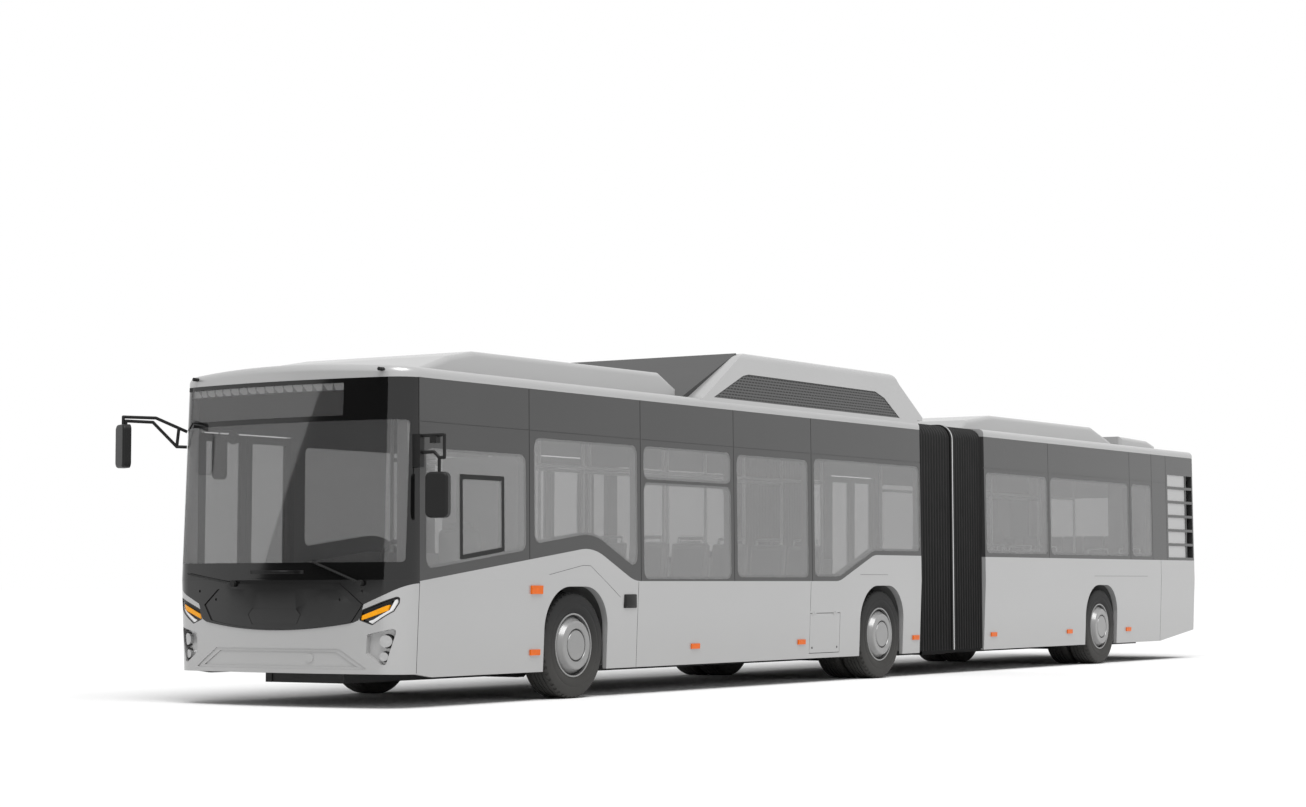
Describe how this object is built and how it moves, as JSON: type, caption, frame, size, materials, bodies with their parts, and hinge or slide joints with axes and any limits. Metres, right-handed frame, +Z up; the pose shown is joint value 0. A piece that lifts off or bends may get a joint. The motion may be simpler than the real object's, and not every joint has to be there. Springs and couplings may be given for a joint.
{
  "type": "articulated bus",
  "caption": "Articulated low-floor city bus with a gas-tank cowl on the front roof, bellows joint, steered front axle, twin-wheel rear axles and inward-swinging doors.",
  "frame": {"origin": "on the ground under the middle of the whole vehicle, on its centre plane", "axes": "+X forward along the bus, +Y to the bus's left, +Z up; the two sections in line"},
  "size_m": [18.0736, 3.1989, 3.3449],
  "materials": {
    "body_paint": "satin silver-grey paint",
    "band_paint": "satin dark grey paint",
    "glazing": "tinted glass",
    "black_gloss": "gloss black",
    "bumper_paint": "painted plastic, silver-grey",
    "lamp_lens": "clear lens over a bright reflector",
    "tail_lens": "red lens",
    "display_face": "blank dark display",
    "black_plastic": "satin black moulding",
    "mesh_paint": "perforated sheet, dark",
    "floor_covering": "matt grey floor covering",
    "chassis_steel": "black chassis paint",
    "seat_cloth": "woven seat cloth",
    "rail_steel": "brushed",
    "bellows_cloth": "rubberised black cloth",
    "ring_aluminium": "pale anodised frame",
    "tyre": "matt rubber",
    "wheel_paint": "silver wheel paint",
    "door_frame": "dark grey frame, glazed"
  },
  "bodies": {
    "front_section": {"front_side_panels": "body_paint", "front_window_frames": "band_paint", "front_windows": "glazing", "windscreen": "glazing", "screen_border": "black_gloss", "front_mask": "black_gloss", "front_bumper": "bumper_paint", "front_end": "body_paint", "front_lamps": "lamp_lens", "destination_display": "display_face", "wipers": "black_plastic", "mirrors": "black_plastic", "front_roof": "body_paint", "front_roof_pod": "body_paint", "gas_cowl": "body_paint", "cowl_mesh": "mesh_paint", "cowl_fairing": "body_paint", "front_floor": "floor_covering", "front_chassis": "chassis_steel", "driver_cab": "black_plastic", "front_seats": "seat_cloth", "front_handrails": "rail_steel", "bellows_front": "bellows_cloth"},
    "rear_section": {"bellows_rear": "bellows_cloth", "rear_side_panels": "body_paint", "rear_window_frames": "band_paint", "rear_windows": "glazing", "rear_roof": "body_paint", "rear_roof_pods": "body_paint", "rear_floor": "floor_covering", "rear_chassis": "chassis_steel", "engine": "chassis_steel", "rear_end": "body_paint", "rear_lamps": "tail_lens", "rear_seats": "seat_cloth", "rear_handrails": "rail_steel"},
    "bellows_ring": {"bellows_ring": "ring_aluminium"},
    "rear_hatch": {"rear_hatch": "body_paint"},
    "service_flap": {"service_flap": "body_paint"},
    "knuckle_left": {"knuckle_left": "chassis_steel"},
    "knuckle_right": {"knuckle_right": "chassis_steel"},
    "front_left_wheel": {"front_left_tyre": "tyre", "front_left_rim": "wheel_paint"},
    "front_right_wheel": {"front_right_tyre": "tyre", "front_right_rim": "wheel_paint"},
    "middle_left_wheel": {"middle_left_tyre": "tyre", "middle_left_rim": "wheel_paint"},
    "middle_right_wheel": {"middle_right_tyre": "tyre", "middle_right_rim": "wheel_paint"},
    "rear_left_wheel": {"rear_left_tyre": "tyre", "rear_left_rim": "wheel_paint"},
    "rear_right_wheel": {"rear_right_tyre": "tyre", "rear_right_rim": "wheel_paint"},
    "front_door_fore_leaf": {"front_door_fore_leaf": "door_frame"},
    "front_door_aft_leaf": {"front_door_aft_leaf": "door_frame"},
    "middle_door_fore_leaf": {"middle_door_fore_leaf": "door_frame"},
    "middle_door_aft_leaf": {"middle_door_aft_leaf": "door_frame"},
    "rear_door_fore_leaf": {"rear_door_fore_leaf": "door_frame"},
    "rear_door_aft_leaf": {"rear_door_aft_leaf": "door_frame"}
  },
  "joints": [
    {"name": "articulation", "type": "hinge", "parent": "front_section", "child": "rear_section", "pos_m": [-1.6, 0, 0.3], "axis": [0, 0, 1], "range_deg": [-48, 48], "deforming": ["bellows_rear"]},
    {"name": "ring_turn", "type": "hinge", "parent": "front_section", "child": "bellows_ring", "pos_m": [-1.6, 0, 0.3], "axis": [0, 0, 1], "range_deg": [-24, 24], "deforming": ["bellows_front"]},
    {"name": "steer_left", "type": "hinge", "parent": "front_section", "child": "knuckle_left", "pos_m": [6, 1.02, 0.475], "axis": [0, 0, 1], "range_deg": [-42, 42]},
    {"name": "steer_right", "type": "hinge", "parent": "front_section", "child": "knuckle_right", "pos_m": [6, -1.02, 0.475], "axis": [0, 0, 1], "range_deg": [-42, 42]},
    {"name": "front_left_spin", "type": "hinge", "parent": "knuckle_left", "child": "front_left_wheel", "pos_m": [6, 1.096, 0.475], "axis": [0, 1, 0], "continuous": true},
    {"name": "front_right_spin", "type": "hinge", "parent": "knuckle_right", "child": "front_right_wheel", "pos_m": [6, -1.096, 0.475], "axis": [0, 1, 0], "continuous": true},
    {"name": "middle_left_spin", "type": "hinge", "parent": "front_section", "child": "middle_left_wheel", "pos_m": [0.16, 1.096, 0.475], "axis": [0, 1, 0], "continuous": true},
    {"name": "middle_right_spin", "type": "hinge", "parent": "front_section", "child": "middle_right_wheel", "pos_m": [0.16, -1.096, 0.475], "axis": [0, 1, 0], "continuous": true},
    {"name": "rear_left_spin", "type": "hinge", "parent": "rear_section", "child": "rear_left_wheel", "pos_m": [-5.806, 1.096, 0.475], "axis": [0, 1, 0], "continuous": true},
    {"name": "rear_right_spin", "type": "hinge", "parent": "rear_section", "child": "rear_right_wheel", "pos_m": [-5.806, -1.096, 0.475], "axis": [0, 1, 0], "continuous": true},
    {"name": "front_door_fore_swing", "type": "hinge", "parent": "front_section", "child": "front_door_fore_leaf", "pos_m": [8.184, -1.234, 1.3], "axis": [0, 0, 1], "range_deg": [-88, 0]},
    {"name": "front_door_aft_swing", "type": "hinge", "parent": "front_section", "child": "front_door_aft_leaf", "pos_m": [7.056, -1.234, 1.3], "axis": [0, 0, 1], "range_deg": [0, 88]},
    {"name": "middle_door_fore_swing", "type": "hinge", "parent": "front_section", "child": "middle_door_fore_leaf", "pos_m": [3.444, -1.234, 1.3], "axis": [0, 0, 1], "range_deg": [-88, 0]},
    {"name": "middle_door_aft_swing", "type": "hinge", "parent": "front_section", "child": "middle_door_aft_leaf", "pos_m": [2.296, -1.234, 1.3], "axis": [0, 0, 1], "range_deg": [0, 88]},
    {"name": "rear_door_fore_swing", "type": "hinge", "parent": "rear_section", "child": "rear_door_fore_leaf", "pos_m": [-3.216, -1.234, 1.3], "axis": [0, 0, 1], "range_deg": [-88, 0]},
    {"name": "rear_door_aft_swing", "type": "hinge", "parent": "rear_section", "child": "rear_door_aft_leaf", "pos_m": [-4.284, -1.234, 1.3], "axis": [0, 0, 1], "range_deg": [0, 88]},
    {"name": "service_flap_swing", "type": "hinge", "parent": "front_section", "child": "service_flap", "pos_m": [1.4, 1.26397, 0.716], "axis": [1, 0, 0], "range_deg": [0, 100]},
    {"name": "rear_hatch_swing", "type": "hinge", "parent": "rear_section", "child": "rear_hatch", "pos_m": [-9.1, 0, 1.404], "axis": [0, 1, 0], "range_deg": [0, 80]}
  ],
  "couplings": [
    {"joint": "ring_turn", "follows": "articulation", "ratio": 0.5},
    {"joint": "steer_right", "follows": "steer_left", "ratio": 1},
    {"joint": "front_door_aft_swing", "follows": "front_door_fore_swing", "ratio": -1},
    {"joint": "middle_door_aft_swing", "follows": "middle_door_fore_swing", "ratio": -1},
    {"joint": "rear_door_aft_swing", "follows": "rear_door_fore_swing", "ratio": -1}
  ]
}
